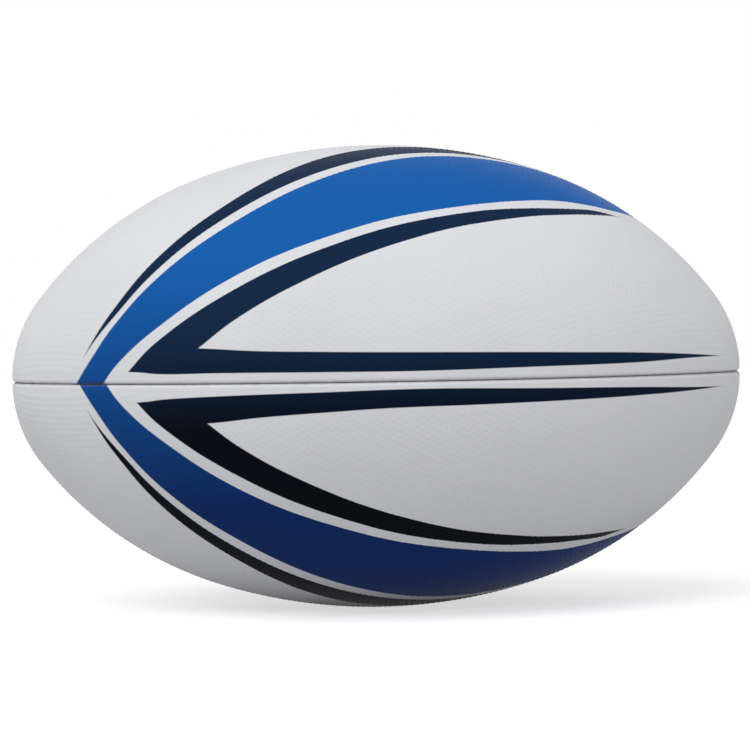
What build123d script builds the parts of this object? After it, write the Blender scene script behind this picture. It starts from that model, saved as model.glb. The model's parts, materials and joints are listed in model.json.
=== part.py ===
from build123d import *
import os
from math import cos, pi, radians, sin

# A hand-stitched rugby ball: four laminated panels sewn along four seams round a bladder.
# The ball's long axis is X and its centre is the origin. The seams face front (-Y), top (+Z),
# rear (+Y) and bottom (-Z). Every panel is a rubber cover on three canvas plies, and its edges are
# turned in along both seams, where one thread each sews them to the next panel. The bladder lies
# inside, with its valve standing through the top rear panel.

# The ball as a whole
ball_length = 295.0
ball_girth_diameter = 187.0
tip_radius = 54.0  # of the rounded point at each end
belly_turn = 18.0  # degrees that the outline turns over half of the belly
shoulder_turn = 34.0  # degrees that it turns from the belly to the tip

# The laminate, from the outside in
cover_thickness = 1.1
ply_thickness = 0.5
glue_line = 0.1
ply_names = ("outer_ply", "middle_ply", "inner_ply")

# The seams
seam_gap = 0.05  # from each cover to the seam's own plane
lip_depth = 7.5  # how far the turned-in edges reach below the ball's surface
groove_width = 1.4
groove_depth = 0.7
stitch_depth = 5.2  # of the row of stitches, below the ball's surface
stitch_pitch = 7.0
thread_radius = 0.4
stitch_squeeze = 0.06  # how much thinner the thread is where it's pulled tight through its holes
stitch_hole_clearance = 0.16
first_stitch_radius = 12.0  # how far from the long axis each row of stitches ends
thread_clearance = 0.05
knot_radius = 1.0

# The bladder
bladder_thickness = 0.8
bladder_clearance = 0.2
channel_clearance = 0.4  # round the turned-in edges and their thread

# The valve, in the top rear panel at the middle of the ball's length
valve_from_seam = 24.0  # along the ball's girth
patch_thickness = 0.5
patch_margin = 1.05  # between the patch and the seam's turned-in edges
neck_wall = 0.4  # beside the plug's head
neck_recess = 0.5
neck_clearance = 0.3
cover_hole_flare = 0.6
flange_radius = 14.0
flange_thickness = 1.6
housing_wall = 2.5  # round the plug
housing_length = 12.0  # below the flange
plug_radius = 2.95
plug_fit = 0.05
plug_head_overhang = 0.55
plug_head_thickness = 1.5
plug_head_clearance = 0.3
plug_seat_gap = 0.1
plug_recess = 0.2
plug_length = 16.0
needle_radius = 0.95
needle_lead_in = 0.6
hole_overrun = 1.0  # how far a hole's cut runs past the piece

# What follows from them
half_length = ball_length / 2
girth_radius = ball_girth_diameter / 2
belly_end = radians(belly_turn)
shoulder_end = radians(belly_turn + shoulder_turn)
ply_step = ply_thickness + glue_line
ply_depths = [cover_thickness + glue_line + i * ply_step for i in range(len(ply_names))]
laminate_depth = ply_depths[-1] + ply_thickness
stitch_radius = thread_radius - stitch_squeeze
stitch_hole_radius = stitch_radius + stitch_hole_clearance
rail_offset = laminate_depth + thread_clearance + thread_radius  # thread beside the edges
patch_depth = laminate_depth + glue_line
patch_radius = valve_from_seam - seam_gap - laminate_depth - patch_margin
bladder_depth = patch_depth + patch_thickness + bladder_clearance
channel_half_width = rail_offset + 2 * knot_radius - thread_radius + channel_clearance
channel_depth = lip_depth + channel_clearance
flange_depth = bladder_depth + bladder_thickness + glue_line
flange_base = flange_depth + flange_thickness
plug_head_radius = plug_radius + plug_head_overhang
neck_radius = plug_head_radius + plug_head_clearance + neck_wall
housing_radius = plug_radius + plug_fit + housing_wall
plug_top = neck_recess + plug_recess
seat_depth = plug_top + plug_head_thickness + plug_seat_gap
reach = ball_length  # longer than any piece, for cutting

# The outline's belly and shoulder arcs meet the length and the girth with the tip's own radius.
arcs_along = half_length - tip_radius * (1 - sin(shoulder_end))
arcs_out = girth_radius - tip_radius * cos(shoulder_end)
shoulder_run = sin(shoulder_end) - sin(belly_end)  # per unit of the shoulder's radius
shoulder_drop = cos(belly_end) - cos(shoulder_end)
belly_run = sin(belly_end)
belly_drop = 1 - cos(belly_end)
divisor = belly_run * shoulder_drop - shoulder_run * belly_drop
belly_radius = (arcs_along * shoulder_drop - arcs_out * shoulder_run) / divisor
shoulder_radius = (arcs_out * belly_run - arcs_along * belly_drop) / divisor
belly_centre = (0, girth_radius - belly_radius)
shoulder_centre = (
    (belly_radius - shoulder_radius) * sin(belly_end),
    girth_radius - belly_radius + (belly_radius - shoulder_radius) * cos(belly_end),
)
tip_centre = (half_length - tip_radius, 0)


def outline(depth):
    """The ball's meridian from tip to tip above the X axis, moved inward by depth."""
    belly_from = 90 - belly_turn
    shoulder_from = belly_from - shoulder_turn
    with BuildLine() as meridian:
        CenterArc(tip_centre, tip_radius - depth, 0, shoulder_from)
        CenterArc(shoulder_centre, shoulder_radius - depth, shoulder_from, shoulder_turn)
        CenterArc(belly_centre, belly_radius - depth, belly_from, 2 * belly_turn)
        CenterArc((-shoulder_centre[0], shoulder_centre[1]), shoulder_radius - depth,
                  180 - belly_from, shoulder_turn)
        CenterArc((-tip_centre[0], 0), tip_radius - depth, 180 - shoulder_from, shoulder_from)
    return meridian.wire()


def egg(depth):
    """A whole solid of the ball's shape, moved inward by depth."""
    with BuildPart() as solid:
        with BuildSketch(Plane.XY):
            with BuildLine():
                add(outline(depth))
                Line((half_length - depth, 0), (depth - half_length, 0))
            make_face()
        revolve(axis=Axis.X)
    return solid.part


def quarter(depth, from_seam):
    """The quarter of egg(depth) between the rear and top seams, from_seam away from both."""
    with BuildPart() as solid:
        add(egg(depth))
        with Locations((0, from_seam, from_seam)):
            Box(reach, reach, reach, align=(Align.CENTER, Align.MIN, Align.MIN),
                mode=Mode.INTERSECT)
    return solid.part


def stitch_points():
    """(along, out) for each stitch of one seam, evenly spaced from end to end."""
    row = outline(stitch_depth)
    steps = int(row.length / stitch_pitch)
    points = [row @ (i / steps) for i in range(steps + 1)]
    return [(p.X, p.Y) for p in points if p.Y >= first_stitch_radius]


stitches = stitch_points()


def folded_layer(near, thickness):
    """One layer of a panel, near below the surface, with its edges turned in at both seams."""
    from_seam = seam_gap + near
    with BuildPart() as layer:
        add(quarter(near, from_seam))
        add(quarter(near + thickness, from_seam + thickness), mode=Mode.SUBTRACT)
        add(egg(lip_depth), mode=Mode.SUBTRACT)
        with BuildSketch(Plane.XY):
            with Locations(*stitches):
                Circle(stitch_hole_radius)
        extrude(amount=channel_half_width, mode=Mode.SUBTRACT)
        with BuildSketch(Plane.XZ):
            with Locations(*stitches):
                Circle(stitch_hole_radius)
        extrude(amount=-channel_half_width, mode=Mode.SUBTRACT)
    return layer.part


def seam_grooves():
    """What the grooves along the rear and top seams take from a panel's cover."""
    with BuildPart() as grooves:
        for plane in (Plane.XY, Plane.XZ):
            with BuildSketch(plane):
                Rectangle(reach, reach)
            extrude(amount=groove_width / 2, both=True)
        add(egg(groove_depth), mode=Mode.SUBTRACT)
    return grooves.part


valve_angle = valve_from_seam / girth_radius * 180 / pi
valve_direction = Vector(0, cos(radians(valve_angle)), sin(radians(valve_angle)))


def valve_plane(depth, side=1):
    """A plane across the valve's axis, that far below the ball's surface there."""
    return Plane(
        origin=valve_direction * side * (girth_radius - depth),
        x_dir=(1, 0, 0),
        z_dir=valve_direction * side,
    )


def disc_under(depth, thickness, radius, side=1):
    """A round patch that follows the ball's shape on the valve's axis."""
    with BuildPart() as disc:
        with BuildSketch(valve_plane(0, side)):
            Circle(radius)
        extrude(amount=-girth_radius)
        add(egg(depth), mode=Mode.INTERSECT)
        add(egg(depth + thickness), mode=Mode.SUBTRACT)
    return disc.part


def write(part, name):
    part.label = name
    export_step(part, f"parts/{name}.step")


os.makedirs("parts", exist_ok=True)

# Panels, in the order that a quarter turn about the long axis takes the first one to
panel_places = ("rear_top", "front_top", "front_bottom", "rear_bottom")
valve_panel = "rear_top"

with BuildPart() as cover:
    add(folded_layer(0, cover_thickness))
    add(seam_grooves(), mode=Mode.SUBTRACT)
plies = [folded_layer(depth, ply_thickness) for depth in ply_depths]

for turn, place in enumerate(panel_places):
    with BuildPart() as panel_cover:
        add(cover.part.rotate(Axis.X, 90 * turn))
        if place == valve_panel:
            with Locations(valve_plane(0)):
                CounterSinkHole(neck_radius + neck_clearance,
                                neck_radius + neck_clearance + cover_hole_flare,
                                depth=lip_depth)
    write(panel_cover.part, f"cover_{place}")
    for ply_name, ply in zip(ply_names, plies):
        with BuildPart() as panel_ply:
            add(ply.rotate(Axis.X, 90 * turn))
            if place == valve_panel:
                with Locations(valve_plane(0)):
                    Hole(neck_radius + neck_clearance, depth=lip_depth)
        write(panel_ply.part, f"{ply_name}_{place}")

# Threads: a run along each side of the turned-in edges, and a stitch through every hole
thread_run = outline(stitch_depth).trim(stitches[0], stitches[-1])
stitch_reach = rail_offset + thread_radius / 2  # each stitch ends inside the runs it joins
knot_place = thread_run @ 1 + thread_run % 1 * thread_radius
knot_offset = rail_offset + knot_radius - thread_radius

with BuildPart() as runs:
    for side in (-1, 1):
        with BuildLine() as rail:
            add(thread_run.translate((0, 0, side * rail_offset)))
        rail_path = rail.wire()
        with BuildSketch(Plane(rail_path @ 0, z_dir=rail_path % 0)):
            Circle(thread_radius)
        sweep(path=rail_path)

with BuildPart() as crossings:
    with BuildSketch(Plane.XY.offset(-stitch_reach)):
        with Locations(*stitches):
            Circle(stitch_radius)
    extrude(amount=2 * stitch_reach)

with BuildPart() as thread:
    add(runs.part)
    add(crossings.part)
    with Locations(*[(knot_place.X, knot_place.Y, side * knot_offset) for side in (-1, 1)]):
        Sphere(knot_radius)

for turn, place in enumerate(("rear", "top", "front", "bottom")):
    write(thread.part.rotate(Axis.X, 90 * turn), f"thread_{place}_seam")


def bladder_form(inward):
    """The inflated bladder's outside, or its inside once moved inward by its thickness."""
    from_seam = channel_half_width + inward
    with BuildPart() as form:
        add(egg(channel_depth + inward))
        corner = quarter(bladder_depth + inward, from_seam)
        for turn in range(4):
            add(corner.rotate(Axis.X, 90 * turn))
    return form.part


with BuildPart() as bladder:
    add(bladder_form(0))
    add(bladder_form(bladder_thickness), mode=Mode.SUBTRACT)
    with Locations(valve_plane(0)):
        Hole(neck_radius + glue_line, depth=flange_base)
write(bladder.part, "bladder")

with BuildPart() as valve_patch:
    add(disc_under(patch_depth, patch_thickness, patch_radius))
    with Locations(valve_plane(0)):
        Hole(neck_radius + neck_clearance, depth=lip_depth)
write(valve_patch.part, "valve_patch")

with BuildPart() as valve_housing:
    add(disc_under(flange_depth, flange_thickness, flange_radius))
    with BuildSketch(valve_plane(neck_recess)):
        Circle(neck_radius)
    extrude(amount=neck_recess - flange_base)
    with BuildSketch(valve_plane(flange_depth + flange_thickness / 2)):
        Circle(housing_radius)
    extrude(amount=-flange_thickness / 2 - housing_length)
    with Locations(valve_plane(neck_recess)):
        CounterBoreHole(plug_radius + plug_fit, plug_head_radius + plug_head_clearance,
                        seat_depth - neck_recess,
                        depth=flange_base + housing_length - neck_recess + hole_overrun)
write(valve_housing.part, "valve_housing")

with BuildPart() as valve_plug:
    with BuildSketch(valve_plane(plug_top)):
        Circle(plug_head_radius)
    extrude(amount=-plug_head_thickness)
    with BuildSketch(valve_plane(plug_top)):
        Circle(plug_radius)
    extrude(amount=-plug_length)
    with Locations(valve_plane(plug_top)):
        CounterSinkHole(needle_radius, needle_radius + needle_lead_in, depth=plug_length)
write(valve_plug.part, "valve_plug")

write(disc_under(flange_depth, flange_thickness, flange_radius, side=-1), "balance_patch")

print("belly radius", round(belly_radius, 2), "shoulder radius", round(shoulder_radius, 2))
print("stitches in a seam", len(stitches), "laminate", round(laminate_depth, 2))
print("valve direction", tuple(valve_direction), "needle hole from",
      girth_radius - plug_top, "to", girth_radius - plug_top - plug_length)
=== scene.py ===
import json
import math

import bmesh
import bpy
import numpy as np
from mathutils import Matrix, Vector
from mathutils.geometry import delaunay_2d_cdt


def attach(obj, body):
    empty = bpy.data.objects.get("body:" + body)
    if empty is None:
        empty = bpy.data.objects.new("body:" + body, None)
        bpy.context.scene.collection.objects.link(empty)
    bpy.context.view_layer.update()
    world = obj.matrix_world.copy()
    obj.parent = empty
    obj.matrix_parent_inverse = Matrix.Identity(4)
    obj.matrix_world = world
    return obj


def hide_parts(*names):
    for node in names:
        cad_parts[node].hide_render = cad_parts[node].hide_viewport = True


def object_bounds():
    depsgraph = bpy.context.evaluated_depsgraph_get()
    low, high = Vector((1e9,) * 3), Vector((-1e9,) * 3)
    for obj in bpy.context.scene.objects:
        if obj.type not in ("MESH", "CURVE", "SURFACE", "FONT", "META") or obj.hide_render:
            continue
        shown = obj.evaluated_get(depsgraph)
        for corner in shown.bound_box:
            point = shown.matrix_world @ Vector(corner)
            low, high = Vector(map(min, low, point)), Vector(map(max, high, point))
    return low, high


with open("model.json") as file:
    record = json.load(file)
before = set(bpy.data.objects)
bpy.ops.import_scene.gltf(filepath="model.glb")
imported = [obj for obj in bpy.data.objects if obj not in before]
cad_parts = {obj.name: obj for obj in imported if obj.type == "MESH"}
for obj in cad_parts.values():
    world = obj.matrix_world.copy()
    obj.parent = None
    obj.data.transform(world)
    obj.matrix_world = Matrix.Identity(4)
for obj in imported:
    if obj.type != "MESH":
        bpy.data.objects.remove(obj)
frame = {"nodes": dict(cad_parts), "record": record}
cadLow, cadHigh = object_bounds()

mm = 0.001
halfLength = cadHigh.x
girthRadius = cadHigh.z

# The ball's outline is three tangent arcs from its middle to each tip.
ballShape = {
    "tipRadius": 54 * mm,
    "bellyTurn": 18,  # degrees
    "shoulderTurn": 34,
}

# The covers: printed rubber sheets, pressed with grip pimples and turned in along the seams
coverShape = {
    "thickness": 1.1 * mm,
    "lipDepth": 7.0 * mm,
    "seamGap": 0.05 * mm,
    "edgeRadius": 1.5 * mm,  # of the roll down into the seam
    "edgeSteps": 6,
    "edgeStart": 1.6,  # times edgeRadius: how deep the straight side begins to roll
    "rollEnd": 1.5,  # times edgeRadius: how far from the seam the pimpled face begins
    "columns": 250,  # of points along each edge
    "stitchPitch": 7.0 * mm,
    "puckerDepth": 0.16 * mm,  # how far each stitch draws the edge in
    "puckerReach": 3.0 * mm,
    "pimplePitch": 2.5 * mm,
    "pimpleFoot": 0.78 * mm,
    "pimpleTop": 0.34 * mm,
    "pimpleHeight": 0.1 * mm,
    "pimpleDrift": 0.06 * mm,  # how far a pimple strays from its row
    "pimpleMargin": 3.6 * mm,  # bare strip beside each seam
    "driftSeed": 7,
    "innerPitch": 9.0 * mm,  # of the points on the plain inner side
    "holeRadius": 4.5 * mm,
    "holeFlare": 0.6 * mm,
    "holeMargin": 7.0 * mm,
    "holePoints": 48,
    "holeSlope": [(1.6, 0), (1, 0), (0.45, 0.25), (0, 1)],  # (out from holeRadius, deep), times holeFlare
}

bellyEnd = math.radians(ballShape["bellyTurn"])
shoulderEnd = math.radians(ballShape["bellyTurn"] + ballShape["shoulderTurn"])
tipRadius = ballShape["tipRadius"]
arcsAlong = halfLength - tipRadius * (1 - math.sin(shoulderEnd))
arcsOut = girthRadius - tipRadius * math.cos(shoulderEnd)
shoulderRun = math.sin(shoulderEnd) - math.sin(bellyEnd)  # per unit of the shoulder's radius
shoulderDrop = math.cos(bellyEnd) - math.cos(shoulderEnd)
divisor = math.sin(bellyEnd) * shoulderDrop - shoulderRun * (1 - math.cos(bellyEnd))
bellyRadius = (arcsAlong * shoulderDrop - arcsOut * shoulderRun) / divisor
shoulderRadius = (arcsOut * math.sin(bellyEnd) - arcsAlong * (1 - math.cos(bellyEnd))) / divisor

# Each arc: the angle where it ends, its radius, and its centre along and out from the long axis
arcEnds = np.array([bellyEnd, shoulderEnd, math.pi / 2])
arcRadii = np.array([bellyRadius, shoulderRadius, tipRadius])
arcAlong = np.array([0, (bellyRadius - shoulderRadius) * math.sin(bellyEnd), halfLength - tipRadius])
bellyOut = girthRadius - bellyRadius
arcOut = np.array([bellyOut, bellyOut + (bellyRadius - shoulderRadius) * math.cos(bellyEnd), 0])
arcStarts = np.array([0, bellyEnd, shoulderEnd])
arcLengths = np.concatenate([[0], np.cumsum(arcRadii * (arcEnds - arcStarts))])
arcTurns = np.concatenate([[0], arcEnds])


def turnAt(run):
    # the outline's turn at a signed distance along it from the middle
    return np.sign(run) * np.interp(np.abs(run), arcLengths, arcTurns)


def runAt(turn):
    return np.sign(turn) * np.interp(np.abs(turn), arcTurns, arcLengths)


def outlineAt(run, depth):
    # (along, out) that far below the surface
    turn = turnAt(run)
    arc = np.clip(np.searchsorted(arcEnds, np.abs(turn)), 0, 2)
    radius = arcRadii[arc] - depth
    x = np.sign(run) * (arcAlong[arc] + radius * np.sin(np.abs(turn)))
    return x, arcOut[arc] + radius * np.cos(turn)


def onBall(run, angle, depth):
    # a point of the rear top quarter: angle goes from the rear seam, 0, to the top seam, 90 degrees
    x, out = outlineAt(run, depth)
    return np.stack([x, out * np.cos(angle), out * np.sin(angle)], axis=-1)


def pucker(run, fromSeam):
    # the stitches draw the edge in a little at each hole
    wave = 0.5 + 0.5 * np.cos(2 * math.pi * run / coverShape["stitchPitch"])
    return coverShape["puckerDepth"] * wave * np.exp(-fromSeam / coverShape["puckerReach"])


def edgeLoop(fromSeam, depth, puckers):
    # a closed ring of points round the quarter, that far from both seams and below the surface
    columns = coverShape["columns"]
    lastTurn = math.acos(fromSeam * math.sqrt(2) / (tipRadius - depth))
    lastRun = float(runAt(lastTurn))
    runs = np.linspace(-lastRun, lastRun, columns + 1)
    below = depth + (pucker(runs, fromSeam) if puckers else 0)
    out = outlineAt(runs, below)[1]
    angles = np.arcsin(np.clip(fromSeam / out, 0, math.sqrt(0.5)))
    angles[[0, -1]] = math.pi / 4
    allRuns = np.concatenate([runs, runs[-2:0:-1]])
    allAngles = np.concatenate([angles, math.pi / 2 - angles[-2:0:-1]])
    allBelow = np.broadcast_to(below, runs.shape)
    allDepths = np.concatenate([allBelow, allBelow[-2:0:-1]])
    return allRuns, allAngles, allDepths


def holeLoop(axis, radius, depth):
    # a ring round the valve's axis, on the surface's own grid
    middle = math.atan2(axis.z, axis.y)
    turn = np.arange(coverShape["holePoints"]) * 2 * math.pi / coverShape["holePoints"]
    runs = radius * np.cos(turn)
    out = outlineAt(runs, 0)[1]
    angles = middle + np.arcsin(radius * np.sin(turn) / out)
    return runs, angles, np.full(len(turn), depth)


def pimplePoints(axis):
    # two rings of six points for each pimple, on a staggered grid that follows the ball
    pitch = coverShape["pimplePitch"]
    margin = coverShape["pimpleMargin"]
    strays = np.random.default_rng(coverShape["driftSeed"])
    rowStep = pitch * math.sqrt(3) / 2
    rows = int(arcLengths[-1] / rowStep)
    centreRuns, centreAngles = [], []
    for row in range(-rows, rows + 1):
        out = float(outlineAt(np.array(row * rowStep), 0)[1])
        half = int(out * math.pi / 4 / pitch) + 1
        steps = np.arange(-half, half + 1) + 0.5 * (row % 2)
        drift = strays.uniform(-1, 1, (len(steps), 2)) * coverShape["pimpleDrift"]
        runs = row * rowStep + drift[:, 0]
        angles = math.pi / 4 + (steps * pitch + drift[:, 1]) / max(out, pitch)
        kept = (out * np.sin(angles) > margin) & (out * np.cos(angles) > margin)
        kept &= (angles > 0) & (angles < math.pi / 2)
        centreRuns.append(runs[kept])
        centreAngles.append(angles[kept])
    runs, angles = np.concatenate(centreRuns), np.concatenate(centreAngles)
    if axis:
        places = onBall(runs, angles, 0)
        beside = np.linalg.norm(np.cross(places, np.array(axis)), axis=1)
        kept = beside > coverShape["holeMargin"]
        runs, angles = runs[kept], angles[kept]
    turns = np.arange(6) * math.pi / 3
    rings = []
    foot, top = (coverShape["pimpleFoot"], 0), (coverShape["pimpleTop"], coverShape["pimpleHeight"])
    for radius, height in (foot, top):
        ringRuns = (runs[:, None] + radius * np.cos(turns)).ravel()
        out = outlineAt(ringRuns, 0)[1]
        ringAngles = (angles[:, None] + radius * np.sin(turns) / out.reshape(-1, 6)).ravel()
        fromSeam = out * np.minimum(np.sin(ringAngles), np.cos(ringAngles))
        rings.append((ringRuns, ringAngles, pucker(ringRuns, fromSeam) - height))
    return [np.concatenate([ring[i] for ring in rings]) for i in range(3)]


def plainPoints(axis):
    # evenly spaced points for the inner side
    pitch = coverShape["innerPitch"]
    margin = coverShape["thickness"] + pitch / 2
    rows = int(arcLengths[-1] / pitch)
    runs, angles = [], []
    for row in range(-rows, rows + 1):
        out = float(outlineAt(np.array(row * pitch), 0)[1])
        half = int(out * math.pi / 4 / pitch)
        for step in range(-half, half + 1):
            angle = math.pi / 4 + step * pitch / out
            if out * min(math.sin(angle), math.cos(angle)) > margin:
                runs.append(row * pitch)
                angles.append(angle)
    runs, angles = np.array(runs), np.array(angles)
    if axis:
        beside = np.linalg.norm(np.cross(onBall(runs, angles, 0), np.array(axis)), axis=1)
        kept = beside > coverShape["holeMargin"]
        runs, angles = runs[kept], angles[kept]
    return runs, angles, np.full(len(runs), coverShape["thickness"])


def flatPlaces(runs, angles):
    # the quarter laid out flat, in millimetres
    out = outlineAt(runs, 0)[1]
    return np.stack([runs, out * (angles - math.pi / 4)], axis=-1) / mm


def fillBetween(outer, hole, inside, points):
    # triangles between a ring, the hole's ring and the points inside; the numbers are places in points
    members = np.concatenate([outer] + ([hole] if hole is not None else []) + [inside])
    flat = flatPlaces(points[0][members], points[1][members])
    count, holeCount = len(outer), 0 if hole is None else len(hole)
    rings = [(i, (i + 1) % count) for i in range(count)]
    rings += [(count + i, count + (i + 1) % holeCount) for i in range(holeCount)]
    placed = delaunay_2d_cdt([Vector(p) for p in flat], rings, [], 0, 1e-7, True)
    places, triangles, sources = placed[0], placed[2], placed[3]
    numbers = [members[source[0]] for source in sources]
    if hole is not None:
        ring = flat[count:count + holeCount]
        middle = ring.mean(axis=0)
        nearest = np.linalg.norm(ring - middle, axis=1).min() * 0.98
    faces = []
    for triangle in triangles:
        if hole is not None:
            centre = sum((places[i] for i in triangle), Vector((0, 0))) / 3
            if math.hypot(centre.x - middle[0], centre.y - middle[1]) < nearest:
                continue
        faces.append([numbers[i] for i in triangle])
    return faces


def coverQuarter(axis=None):
    # a whole closed cover for the rear top quarter, with the valve's hole if it has an axis
    gap, thick = coverShape["seamGap"], coverShape["thickness"]
    lip, roll = coverShape["lipDepth"], coverShape["edgeRadius"]
    profile = [(gap + thick, thick, False), (gap + thick, lip, False), (gap, lip, False)]
    profile.append((gap, roll * coverShape["edgeStart"], False))
    for step in range(coverShape["edgeSteps"] + 1):
        turn = math.pi / 2 * step / coverShape["edgeSteps"]
        profile.append((gap + roll * (1 - math.cos(turn)), roll * (1 - math.sin(turn)), True))
    profile.append((gap + roll * coverShape["rollEnd"], 0, True))
    parts, loops, faces, total = [], [], [], 0
    for fromSeam, depth, puckers in profile:
        parts.append(edgeLoop(fromSeam, depth, puckers))
        count = len(parts[-1][0])
        loops.append(np.arange(total, total + count))
        total += count
    for near, far in zip(loops, loops[1:]):
        for i in range(len(near)):
            j = (i + 1) % len(near)
            faces.append([near[i], near[j], far[j], far[i]])
    holes = []
    if axis:
        radius, flare = coverShape["holeRadius"], coverShape["holeFlare"]
        steps = [(radius + flare * out, flare * deep) for out, deep in coverShape["holeSlope"]]
        steps.append((radius, thick))
        for holeRadius, depth in steps:
            parts.append(holeLoop(axis, holeRadius, depth))
            count = len(parts[-1][0])
            holes.append(np.arange(total, total + count))
            total += count
        for near, far in zip(holes, holes[1:]):
            for i in range(len(near)):
                j = (i + 1) % len(near)
                faces.append([near[i], near[j], far[j], far[i]])
    insides = []
    for made in (pimplePoints(axis), plainPoints(axis)):
        parts.append(made)
        insides.append(np.arange(total, total + len(made[0])))
        total += len(made[0])
    points = [np.concatenate([part[i] for part in parts]) for i in range(3)]
    faces += fillBetween(loops[-1], holes[0] if axis else None, insides[0], points)
    faces += fillBetween(loops[0], holes[-1] if axis else None, insides[1], points)
    return onBall(*points), faces


def rounded(name, places, faces, turns):
    # a smooth mesh from points, turned about the long axis by that many quarters
    mesh = bpy.data.meshes.new(name)
    mesh.from_pydata(places.tolist(), [], faces)
    mesh.transform(Matrix.Rotation(math.pi / 2 * turns, 4, "X"))
    shaped = bmesh.new()
    shaped.from_mesh(mesh)
    bmesh.ops.recalc_face_normals(shaped, faces=shaped.faces)
    shaped.to_mesh(mesh)
    shaped.free()
    mesh.shade_smooth()
    made = bpy.data.objects.new(name, mesh)
    bpy.context.scene.collection.objects.link(made)
    return made


def addNode(tree, kind, place, **settings):
    made = tree.nodes.new("ShaderNode" + kind)
    made.location = place
    for name, value in settings.items():
        setattr(made, name, value)
    return made


def feed(tree, socket, value):
    # a socket takes a link or a plain value
    if isinstance(value, bpy.types.NodeSocket):
        tree.links.new(value, socket)
    else:
        socket.default_value = value


def calc(tree, operation, place, *values, clamp=False):
    made = addNode(tree, "Math", place, operation=operation, use_clamp=clamp)
    for socket, value in zip(made.inputs, values):
        feed(tree, socket, value)
    return made.outputs["Value"]


def curveOf(tree, value, place, label, points):
    # a smooth curve through points that are given from 0 to 1 both ways
    made = addNode(tree, "FloatCurve", place, label=label)
    curve = made.mapping.curves[0]
    made.mapping.use_clip = False
    while len(curve.points) < len(points):
        curve.points.new(0.5, 0.5)
    for point, (x, y) in zip(curve.points, points):
        point.location = (x, y)
        point.handle_type = "AUTO"
    made.mapping.update()
    feed(tree, made.inputs["Value"], value)
    return made.outputs["Value"]


def mixColour(tree, factor, first, second, place):
    made = addNode(tree, "Mix", place, data_type="RGBA")
    feed(tree, made.inputs["Factor"], factor)
    feed(tree, made.inputs["A"], first)
    feed(tree, made.inputs["B"], second)
    return made.outputs["Result"]


def newGroup(name, inputs, outputs):
    # an empty shader group; inputs and outputs are (name, kind, default)
    tree = bpy.data.node_groups.new(name, "ShaderNodeTree")
    for side, sockets in (("INPUT", inputs), ("OUTPUT", outputs)):
        for socketName, kind, default in sockets:
            made = tree.interface.new_socket(socketName, in_out=side, socket_type="NodeSocket" + kind)
            if default is not None:
                made.default_value = default
    start = tree.nodes.new("NodeGroupInput")
    start.location = (-1400, 0)
    end = tree.nodes.new("NodeGroupOutput")
    end.location = (1400, 0)
    return tree, start.outputs, end.inputs


def placeGroup(tree, group, place, **values):
    made = addNode(tree, "Group", place, node_tree=group)
    for name, value in values.items():
        feed(tree, made.inputs[name], value)
    return made.outputs


def colour(red, green, blue):
    # screen colours, 0 to 255, as a shader takes them
    parts = [c / 255 for c in (red, green, blue)]
    linear = [c / 12.92 if c <= 0.04045 else ((c + 0.055) / 1.055) ** 2.4 for c in parts]
    return (*linear, 1)


# The print: a swept band and an arrowhead on each panel, the same way round on both sides of a seam.
# A reach line gives millimetres along the ball for degrees from the front or rear seam.
# A seam line gives millimetres from that seam for millimetres along the ball.
panelPrintAndShade = {
    "white": colour(230, 231, 235),
    "blue": colour(22, 98, 178),
    # painted shade: darker copies of the blue and navy for the lower panels, where less light falls from
    # above
    "blueInPaintedShade": colour(16, 48, 108),
    "navy": colour(20, 42, 71),
    "navyInPaintedShade": colour(7, 11, 22),
    "blueShadeFade": 95 * mm,  # the height over which the blue darkens to its painted shade towards the bottom
    "navyShadeFade": 36 * mm,
    "lowerShift": 1.4 * mm,  # how far the print of the lower panels sits along from the upper's
    "edgeBlur": 0.35,  # mm, how soft the ink's edge is
    "reachLines": {
        "bandOuter": [(0, -116.8), (10, -110), (21, -100), (33.5, -82), (46.8, -51), (63, -5),
                      (72.3, 26), (78, 50), (90, 96)],
        "lineNear": [(0, -119.5), (14.9, -110), (24, -100), (36, -83), (50, -52.5), (66.3, -6),
                     (76, 27), (82, 52), (90, 86)],
        "lineFar": [(0, -118), (15.7, -110.2), (27, -100.3), (40, -84), (56, -52.5), (69.6, -22.5),
                    (75.7, -6), (90, 46)],
        "bandInner": [(0, -105.5), (8.7, -97), (17, -82.5), (28.5, -52), (39.2, -5.5), (48.8, 41),
                      (58.3, 72.5), (65, 89), (70, 96.5), (80, 104), (90, 107)],
        "armOuter": [(0, -98.5), (5, -94), (13, -82.5), (25, -51.5), (36.3, -6), (46, 40),
                     (54.2, 72), (61, 87), (66, 97), (78, 106), (90, 110)],
        "armInner": [(0, -85), (9.8, -66.8), (16.9, -51.5), (26.5, -21), (38.1, 25), (46, 56),
                     (54.5, 80), (65, 96), (75, 103), (90, 106)],
    },
    "seamLines": {
        "shaftLow": [(-150, 5), (-93, 4.7), (-82, 3.9), (-60, 4.1), (-20, 4), (15, 3.9), (60, 4.6),
                     (100, 5.2), (127, 6.4), (150, 6.6)],
        "shaftHigh": [(-150, 16), (-67, 13.6), (-44, 12.3), (-20, 11.7), (5, 11.2), (40, 10.6),
                      (80, 9.7), (100, 9.1), (120, 8), (138, 6.4), (150, 4.9)],
    },
    "lowerSeamLines": {
        "shaftLow": [(-150, 8.5), (-92, 6.8), (-82, 5.7), (-60, 4.6), (-20, 3.5), (15, 2.8), (60, 3.5),
                     (100, 4.3), (127, 5.3), (150, 5.6)],
        "shaftHigh": [(-150, 19), (-67, 15.1), (-44, 12.8), (-20, 11.2), (5, 9.9), (40, 9.2),
                      (80, 8.2), (100, 7.5), (120, 6.6), (138, 5.2), (150, 4)],
    },
}


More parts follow.
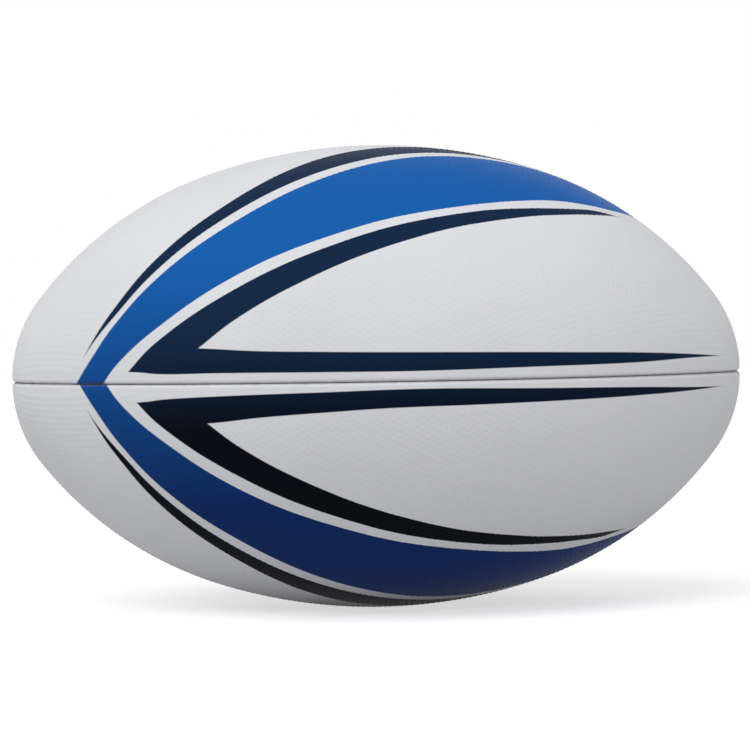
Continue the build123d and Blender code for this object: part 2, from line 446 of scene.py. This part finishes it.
def buildPrintAndShade():
    # masks of the print from the place on the ball, with the blue and navy painted darker towards the bottom
    # as painted shade
    span, seamSpan = 300, 20  # mm that the curves' 0 to 1 stand for
    tree, given, out = newGroup(
        "panelPrintAndShade",
        [("Position", "Vector", None), ("White", "Color", None), ("Blue", "Color", None),
         ("Blue In Painted Shade", "Color", None), ("Navy", "Color", None), ("Navy In Painted Shade", "Color", None)],
        [("Color", "Color", None), ("Ink", "Float", None)],
    )
    place = addNode(tree, "SeparateXYZ", (-1200, 0))
    feed(tree, place.inputs[0], given["Position"])
    x, y, z = place.outputs
    upZ = calc(tree, "ABSOLUTE", (-1000, -200), z)
    outY = calc(tree, "ABSOLUTE", (-1000, -100), y)
    angle = calc(tree, "DIVIDE", (-700, -100), calc(tree, "ARCTAN2", (-850, -100), upZ, outY), math.pi / 2)
    lower = calc(tree, "LESS_THAN", (-1000, -400), z, 0)
    shifted = calc(tree, "MULTIPLY_ADD", (-1000, 100), lower, -panelPrintAndShade["lowerShift"], x)
    reach = calc(tree, "MULTIPLY_ADD", (-850, 100), shifted, 1 / (span * mm), 0.5)
    blur = panelPrintAndShade["edgeBlur"]
    masks = {}
    for i, (name, line) in enumerate(panelPrintAndShade["reachLines"].items()):
        points = [(degrees / 90, millimetres / span + 0.5) for degrees, millimetres in line]
        edge = curveOf(tree, angle, (-500, 900 - 300 * i), name, points)
        past = calc(tree, "SUBTRACT", (-200, 900 - 300 * i), reach, edge)
        masks[name] = calc(tree, "MULTIPLY_ADD", (0, 900 - 300 * i), past, span / blur / 2, 0.5, clamp=True)
    for i, name in enumerate(panelPrintAndShade["seamLines"]):
        edges = []
        for j, lines in enumerate((panelPrintAndShade["seamLines"], panelPrintAndShade["lowerSeamLines"])):
            points = [(millimetres / span + 0.5, away / seamSpan) for millimetres, away in lines[name]]
            edges.append(curveOf(tree, reach, (-900 + 300 * j, -900 - 300 * i), name, points))
        change = calc(tree, "SUBTRACT", (-350, -1000 - 300 * i), edges[1], edges[0])
        edge = calc(tree, "MULTIPLY_ADD", (-250, -1000 - 300 * i), change, lower, edges[0])
        away = calc(tree, "MULTIPLY", (-350, -900 - 300 * i), upZ, 1 / (seamSpan * mm))
        past = calc(tree, "SUBTRACT", (-200, -900 - 300 * i), away, edge)
        masks[name] = calc(tree, "MULTIPLY_ADD", (0, -900 - 300 * i), past, seamSpan / blur, 0.5, clamp=True)
    beforeInner = calc(tree, "SUBTRACT", (200, 300), 1, masks["bandInner"])
    band = calc(tree, "MULTIPLY", (400, 300), masks["bandOuter"], beforeInner)
    beforeNear = calc(tree, "SUBTRACT", (200, 600), 1, masks["lineNear"])
    outline = calc(tree, "MULTIPLY", (400, 600), masks["lineFar"], beforeNear)
    notch = calc(tree, "MULTIPLY", (200, -300), masks["armInner"], masks["shaftHigh"])
    aroundNotch = calc(tree, "SUBTRACT", (400, -300), 1, notch)
    head = calc(tree, "MULTIPLY", (400, -100), masks["armOuter"], masks["shaftLow"])
    arrow = calc(tree, "MULTIPLY", (600, -200), head, aroundNotch)
    navyMask = calc(tree, "MAXIMUM", (700, 200), arrow, outline)
    # painted shade: the blue and navy darken towards the bottom of the ball
    blueShadeMix = calc(tree, "MULTIPLY_ADD", (400, -600), z, 1 / panelPrintAndShade["blueShadeFade"], 0.5, clamp=True)
    navyShadeMix = calc(tree, "MULTIPLY_ADD", (400, -800), z, 1 / panelPrintAndShade["navyShadeFade"], 0.5, clamp=True)
    blue = mixColour(tree, blueShadeMix, given["Blue In Painted Shade"], given["Blue"], (600, -600))
    navy = mixColour(tree, navyShadeMix, given["Navy In Painted Shade"], given["Navy"], (600, -800))
    withBand = mixColour(tree, band, given["White"], blue, (900, 300))
    feed(tree, out["Color"], mixColour(tree, navyMask, withBand, navy, (1100, 200)))
    feed(tree, out["Ink"], calc(tree, "MAXIMUM", (1100, -100), navyMask, band))
    return tree


def buildGrain():
    # the fine unevenness of moulded rubber, and a slow change of shade over it
    tree, given, out = newGroup(
        "rubberGrain",
        [("Position", "Vector", None), ("Fine", "Float", 2600.0), ("Slow", "Float", 22.0)],
        [("Height", "Float", None), ("Shade", "Float", None)],
    )
    fine = addNode(tree, "TexNoise", (-800, 200))
    fine.inputs["Detail"].default_value = 4
    feed(tree, fine.inputs["Vector"], given["Position"])
    feed(tree, fine.inputs["Scale"], given["Fine"])
    pits = addNode(tree, "TexVoronoi", (-800, -100))
    feed(tree, pits.inputs["Vector"], given["Position"])
    feed(tree, pits.inputs["Scale"], calc(tree, "MULTIPLY", (-1000, -100), given["Fine"], 0.4))
    slow = addNode(tree, "TexNoise", (-800, -400))
    slow.inputs["Detail"].default_value = 3
    feed(tree, slow.inputs["Vector"], given["Position"])
    feed(tree, slow.inputs["Scale"], given["Slow"])
    feed(tree, out["Height"], calc(tree, "MULTIPLY_ADD", (-400, 100), pits.outputs["Distance"], 0.5,
                                   fine.outputs["Fac"]))
    feed(tree, out["Shade"], slow.outputs["Fac"])
    return tree


def buildSeamDustAndShade():
    # dust that gathers close to the four seams, and painted shade down in their grooves
    tree, given, out = newGroup(
        "seamDustAndShade",
        [("Position", "Vector", None), ("Reach", "Float", 1.0 * mm)],
        [("Mask", "Float", None)],
    )
    place = addNode(tree, "SeparateXYZ", (-1000, 0))
    feed(tree, place.inputs[0], given["Position"])
    outY = calc(tree, "ABSOLUTE", (-800, 100), place.outputs["Y"])
    upZ = calc(tree, "ABSOLUTE", (-800, -100), place.outputs["Z"])
    nearest = calc(tree, "MINIMUM", (-600, 0), outY, upZ)
    share = calc(tree, "DIVIDE", (-400, 0), nearest, given["Reach"])
    spots = addNode(tree, "TexNoise", (-600, -300))
    spots.inputs["Scale"].default_value = 300
    feed(tree, spots.inputs["Vector"], given["Position"])
    uneven = calc(tree, "MULTIPLY_ADD", (-300, -200), spots.outputs["Fac"], 0.8, -0.4)
    left = calc(tree, "SUBTRACT", (-200, 0), 1, share)
    feed(tree, out["Mask"], calc(tree, "ADD", (0, 0), left, uneven, clamp=True))
    return tree


def buildWeave():
    # plain woven cloth laid round the ball: threads over and under by turns
    tree, given, out = newGroup(
        "canvasWeave",
        [("Position", "Vector", None), ("Pitch", "Float", 0.6 * mm)],
        [("Height", "Float", None), ("Gap", "Float", None)],
    )
    place = addNode(tree, "SeparateXYZ", (-1200, 0))
    feed(tree, place.inputs[0], given["Position"])
    around = calc(tree, "ARCTAN2", (-1000, -100), place.outputs["Z"], place.outputs["Y"])
    girth = calc(tree, "MULTIPLY", (-850, -100), around, girthRadius)
    waves = []
    for i, distance in enumerate((place.outputs["X"], girth)):
        turns = calc(tree, "DIVIDE", (-700, 200 - 400 * i), distance, given["Pitch"])
        waves.append(calc(tree, "SINE", (-400, 200 - 400 * i),
                          calc(tree, "MULTIPLY", (-550, 200 - 400 * i), turns, math.pi)))
    crossing = calc(tree, "MULTIPLY", (-200, 0), waves[0], waves[1])
    feed(tree, out["Height"], calc(tree, "MULTIPLY_ADD", (0, 100), crossing, 0.5, 0.5))
    edges = calc(tree, "ABSOLUTE", (0, -100), crossing)
    feed(tree, out["Gap"], calc(tree, "SUBTRACT", (200, -100), 1, edges, clamp=True))
    return tree


def newMaterial(name):
    made = bpy.data.materials.new(name)
    made.use_nodes = True
    tree = made.node_tree
    tree.nodes.clear()
    shader = addNode(tree, "BsdfPrincipled", (600, 0))
    end = addNode(tree, "OutputMaterial", (900, 0))
    tree.links.new(shader.outputs["BSDF"], end.inputs["Surface"])
    where = addNode(tree, "TexCoord", (-900, 0)).outputs["Object"]
    return made, tree, shader, where


def bumpFrom(tree, shader, height, depth, place):
    made = addNode(tree, "Bump", place)
    made.inputs["Distance"].default_value = depth
    made.inputs["Strength"].default_value = 1
    feed(tree, made.inputs["Height"], height)
    tree.links.new(made.outputs["Normal"], shader.inputs["Normal"])


printAndShadeGroup = buildPrintAndShade()
grainGroup = buildGrain()
seamDustShadeGroup = buildSeamDustAndShade()
weaveGroup = buildWeave()

coverFinish = {
    "roughBare": 0.62,
    "roughInk": 0.5,
    "shineBare": 0.12,
    "shineInk": 0.02,
    "edgeSheen": 0.22,  # the soft paleness of matt rubber where it turns away
    "edgeSheenRough": 0.35,
    "shadeChange": 0.05,
    # this grey is seam dust and also painted shade in the seam grooves
    "dustAndShadeColour": colour(120, 118, 116),
    "dustAndShadeAmount": 0.55,
    "dustAndShadeReach": 0.9 * mm,
    "grainDepth": 0.03 * mm,
}


def coverMaterial():
    made, tree, shader, where = newMaterial("printedRubber")
    # the print's colour carries the painted shade of the lower panels' blue and navy
    printAndShade = placeGroup(tree, printAndShadeGroup, (-500, 300), **{
        "Position": where, "White": panelPrintAndShade["white"], "Blue": panelPrintAndShade["blue"],
        "Blue In Painted Shade": panelPrintAndShade["blueInPaintedShade"], "Navy": panelPrintAndShade["navy"], "Navy In Painted Shade": panelPrintAndShade["navyInPaintedShade"]})
    grain = placeGroup(tree, grainGroup, (-500, 0), Position=where, Fine=1500.0, Slow=20.0)
    seamDustShade = placeGroup(tree, seamDustShadeGroup, (-500, -300), Position=where, Reach=coverFinish["dustAndShadeReach"])
    change = coverFinish["shadeChange"]
    shade = calc(tree, "MULTIPLY_ADD", (-200, 150), grain["Shade"], 2 * change, 1 - 1.3 * change)
    shaded = addNode(tree, "VectorMath", (-50, 300), operation="SCALE")
    feed(tree, shaded.inputs[0], printAndShade["Color"])
    feed(tree, shaded.inputs["Scale"], shade)
    # dust and painted shade: the covers turn grey towards the seam grooves
    dustAndShade = calc(tree, "MULTIPLY", (-200, -300), seamDustShade["Mask"], coverFinish["dustAndShadeAmount"])
    feed(tree, shader.inputs["Base Color"],
         mixColour(tree, dustAndShade, shaded.outputs[0], coverFinish["dustAndShadeColour"], (200, 250)))
    inkSheen = calc(tree, "MULTIPLY_ADD", (-200, 0), printAndShade["Ink"],
                    coverFinish["roughInk"] - coverFinish["roughBare"], coverFinish["roughBare"])
    feed(tree, shader.inputs["Roughness"],
         calc(tree, "MULTIPLY_ADD", (0, 0), grain["Height"], 0.08, inkSheen))
    feed(tree, shader.inputs["Specular IOR Level"],
         calc(tree, "MULTIPLY_ADD", (-200, -150), printAndShade["Ink"],
              coverFinish["shineInk"] - coverFinish["shineBare"], coverFinish["shineBare"]))
    shader.inputs["Sheen Weight"].default_value = coverFinish["edgeSheen"]
    shader.inputs["Sheen Roughness"].default_value = coverFinish["edgeSheenRough"]
    bumpFrom(tree, shader, grain["Height"], coverFinish["grainDepth"], (200, -200))
    return made


def canvasMaterial():
    made, tree, shader, where = newMaterial("canvas")
    weave = placeGroup(tree, weaveGroup, (-500, 0), Position=where, Pitch=0.6 * mm)
    grain = placeGroup(tree, grainGroup, (-500, -300), Position=where, Fine=3000.0, Slow=60.0)
    yarn = mixColour(tree, grain["Shade"], colour(196, 182, 150), colour(222, 210, 182), (-100, 200))
    feed(tree, shader.inputs["Base Color"],
         mixColour(tree, weave["Gap"], yarn, colour(150, 134, 104), (200, 200)))
    feed(tree, shader.inputs["Roughness"], calc(tree, "MULTIPLY_ADD", (0, 0), grain["Height"], 0.1, 0.8))
    bumpFrom(tree, shader, weave["Height"], 0.08 * mm, (200, -200))
    return made


def rubberMaterial(name, dark, light, roughness, fine):
    # plain moulded rubber, for the bladder, the valve and its plug
    made, tree, shader, where = newMaterial(name)
    grain = placeGroup(tree, grainGroup, (-500, 0), Position=where, Fine=fine, Slow=70.0)
    feed(tree, shader.inputs["Base Color"], mixColour(tree, grain["Shade"], dark, light, (0, 200)))
    feed(tree, shader.inputs["Roughness"],
         calc(tree, "MULTIPLY_ADD", (0, 0), grain["Height"], 0.12, roughness))
    shader.inputs["Specular IOR Level"].default_value = 0.4
    bumpFrom(tree, shader, grain["Height"], 0.02 * mm, (200, -200))
    return made


def threadMaterial():
    # waxed twine: its strands run slantwise round it
    made, tree, shader, where = newMaterial("waxedThread")
    strands = addNode(tree, "TexWave", (-500, 100), wave_type="BANDS", bands_direction="DIAGONAL")
    strands.inputs["Scale"].default_value = 900
    strands.inputs["Distortion"].default_value = 1.5
    feed(tree, strands.inputs["Vector"], where)
    grain = placeGroup(tree, grainGroup, (-500, -200), Position=where, Fine=4000.0, Slow=200.0)
    feed(tree, shader.inputs["Base Color"],
         mixColour(tree, strands.outputs["Fac"], colour(176, 172, 160), colour(224, 221, 210), (0, 200)))
    feed(tree, shader.inputs["Roughness"], calc(tree, "MULTIPLY_ADD", (0, 0), grain["Height"], 0.15, 0.45))
    bumpFrom(tree, shader, strands.outputs["Fac"], 0.06 * mm, (200, -200))
    return made


covers = coverMaterial()
slotMaterials = {
    "canvas": canvasMaterial(),
    "thread": threadMaterial(),
    "bladder_rubber": rubberMaterial("bladderRubber", colour(38, 40, 44), colour(52, 54, 58), 0.4, 1200.0),
    "valve_rubber": rubberMaterial("valveRubber", colour(30, 31, 33), colour(42, 43, 46), 0.45, 2500.0),
    "plug_rubber": rubberMaterial("plugRubber", colour(196, 194, 188), colour(214, 212, 206), 0.5, 3000.0),
}
print("materials made")

valveAxis = None
for mount in frame["record"]["mounts"]:
    if mount["name"] == "needle_hole":
        valveAxis = Vector(mount["axis"]).normalized()
panels = ("rear_top", "front_top", "front_bottom", "rear_bottom")
plainQuarter = coverQuarter()
print("plain cover laid out with", len(plainQuarter[1]), "faces")
valveQuarter = coverQuarter(valveAxis)
print("valve cover laid out with", len(valveQuarter[1]), "faces")
for turns, panel in enumerate(panels):
    places, faces = valveQuarter if panel == "rear_top" else plainQuarter
    piece = rounded("panel_" + panel, places, faces, turns)
    piece.data.materials.append(covers)
    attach(piece, "ball")
    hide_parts("cover_" + panel)
print("panels made")

for entry in frame["record"]["subparts"]:
    node = frame["nodes"].get(entry.get("node") or entry.get("name"))
    slotName = entry.get("material_slot") or entry.get("material")
    if node is None or slotName not in slotMaterials:
        continue
    node.data.materials.clear()
    node.data.materials.append(slotMaterials[slotName])
print("frame nodes finished")

stageLook = {
    "ambient": 0.36,  # the even light from all round
    "sunStrength": 1.8,
    "sunSpread": 55,  # degrees
    "sunFrom": (-0.52, -0.85, 1.25),
    "fillStrength": 0.42,  # the weaker light from the right
    "fillFrom": (1.0, -0.4, 0.1),
    "floorColour": colour(205, 205, 207),
    "floorGlow": 0.62,  # brings the lit floor up to the backdrop's white
    "floorSize": 8.0,
}


def seenDirectly(tree, place):
    # 1 for rays from the camera, and for reflections and views through glass
    path = addNode(tree, "LightPath", place)
    either = calc(tree, "MAXIMUM", (place[0] + 200, place[1]), path.outputs["Is Camera Ray"],
                  path.outputs["Is Glossy Ray"])
    return calc(tree, "MAXIMUM", (place[0] + 400, place[1]), either, path.outputs["Is Transmission Ray"])


def buildStage():
    world = bpy.data.worlds.new("studio")
    bpy.context.scene.world = world
    world.use_nodes = True
    tree = world.node_tree
    tree.nodes.clear()
    seen = seenDirectly(tree, (-800, 0))
    glow = addNode(tree, "Background", (200, 0))
    ambient = stageLook["ambient"]
    feed(tree, glow.inputs["Strength"], calc(tree, "MULTIPLY_ADD", (0, 0), seen, 1 - ambient, ambient))
    glow.inputs["Color"].default_value = (1, 1, 1, 1)
    end = addNode(tree, "OutputWorld", (400, 0))
    tree.links.new(glow.outputs[0], end.inputs["Surface"])

    half = stageLook["floorSize"] / 2
    mesh = bpy.data.meshes.new("studioFloor")
    corners = [(-half, -half), (half, -half), (half, half), (-half, half)]
    mesh.from_pydata([(x, y, cadLow.z) for x, y in corners], [], [(0, 1, 2, 3)])
    floor = bpy.data.objects.new("studioFloor", mesh)
    bpy.context.scene.collection.objects.link(floor)
    paper = bpy.data.materials.new("studioPaper")
    paper.use_nodes = True
    tree = paper.node_tree
    tree.nodes.clear()
    lit = addNode(tree, "BsdfDiffuse", (0, 100))
    lit.inputs["Color"].default_value = stageLook["floorColour"]
    glow = addNode(tree, "Emission", (0, -100))
    feed(tree, glow.inputs["Strength"],
         calc(tree, "MULTIPLY", (-200, -100), seenDirectly(tree, (-900, -100)), stageLook["floorGlow"]))
    both = addNode(tree, "AddShader", (200, 0))
    tree.links.new(lit.outputs[0], both.inputs[0])
    tree.links.new(glow.outputs[0], both.inputs[1])
    end = addNode(tree, "OutputMaterial", (400, 0))
    tree.links.new(both.outputs[0], end.inputs["Surface"])
    mesh.materials.append(paper)

    for name in ("sun", "fill"):
        light = bpy.data.lights.new(name, "SUN")
        light.energy = stageLook[name + "Strength"]
        light.angle = math.radians(stageLook["sunSpread"])
        lamp = bpy.data.objects.new(name, light)
        lamp.rotation_euler = Vector(stageLook[name + "From"]).to_track_quat("Z", "Y").to_euler()
        bpy.context.scene.collection.objects.link(lamp)


cameraLook = {
    "distance": 1250 * mm,
    "elevation": 1.4,  # degrees above level
    "roll": 0.95,
    "widthSeen": 304.8 * mm,  # at the ball's middle
    "shiftAlong": -0.4 * mm,
    "shiftUp": 0.4 * mm,
}


def buildCamera():
    lens = bpy.data.cameras.new("view")
    lens.sensor_width = 36
    lens.lens = lens.sensor_width * cameraLook["distance"] / cameraLook["widthSeen"]
    lens.clip_start, lens.clip_end = 0.05, 50
    camera = bpy.data.objects.new("view", lens)
    bpy.context.scene.collection.objects.link(camera)
    rise = math.radians(cameraLook["elevation"])
    back = Vector((0, -math.cos(rise), math.sin(rise)))
    aim = Vector((cameraLook["shiftAlong"], 0, cameraLook["shiftUp"]))
    turn = back.to_track_quat("Z", "Y")
    roll = Matrix.Rotation(math.radians(-cameraLook["roll"]), 4, "Z")
    place = Matrix.Translation(aim + back * cameraLook["distance"])
    camera.matrix_world = place @ turn.to_matrix().to_4x4() @ roll
    bpy.context.scene.camera = camera


buildStage()
buildCamera()
bpy.context.scene.view_settings.view_transform = "Standard"
print("stage, light and camera set")
